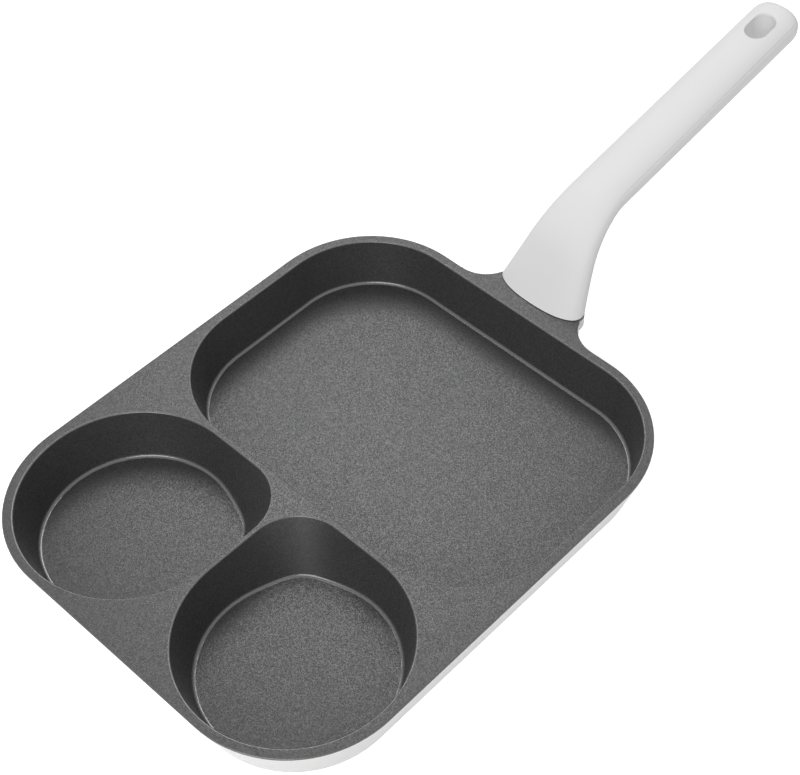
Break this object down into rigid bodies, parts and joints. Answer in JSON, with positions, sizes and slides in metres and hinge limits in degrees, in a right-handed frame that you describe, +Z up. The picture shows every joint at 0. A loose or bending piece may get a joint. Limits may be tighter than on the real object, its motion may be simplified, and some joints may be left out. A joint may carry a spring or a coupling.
{
  "type": "divided egg frying pan",
  "caption": "Divided egg frying pan with round egg cups beside a large shallow well, and an upswept moulded handle with a hanging hole.",
  "frame": {"origin": "centre of the pan's flat underside, midway along and across the rim, handle left out", "axes": "+Z up, +X from the egg cups towards the handle, +Y to the left when looking along +X"},
  "size_m": [0.4212, 0.1996, 0.0908],
  "materials": {
    "coated_casting": "cast aluminium; matte dark grey speckled non-stick coating on the rim and in the wells, plain white enamel outside",
    "handle_plastic": "satin white heat-resistant moulding",
    "screw_steel": "plain zinc-plated steel"
  },
  "bodies": {
    "root": {"pan_body": "coated_casting", "handle": "handle_plastic", "handle_screw": "screw_steel"}
  },
  "joints": []
}
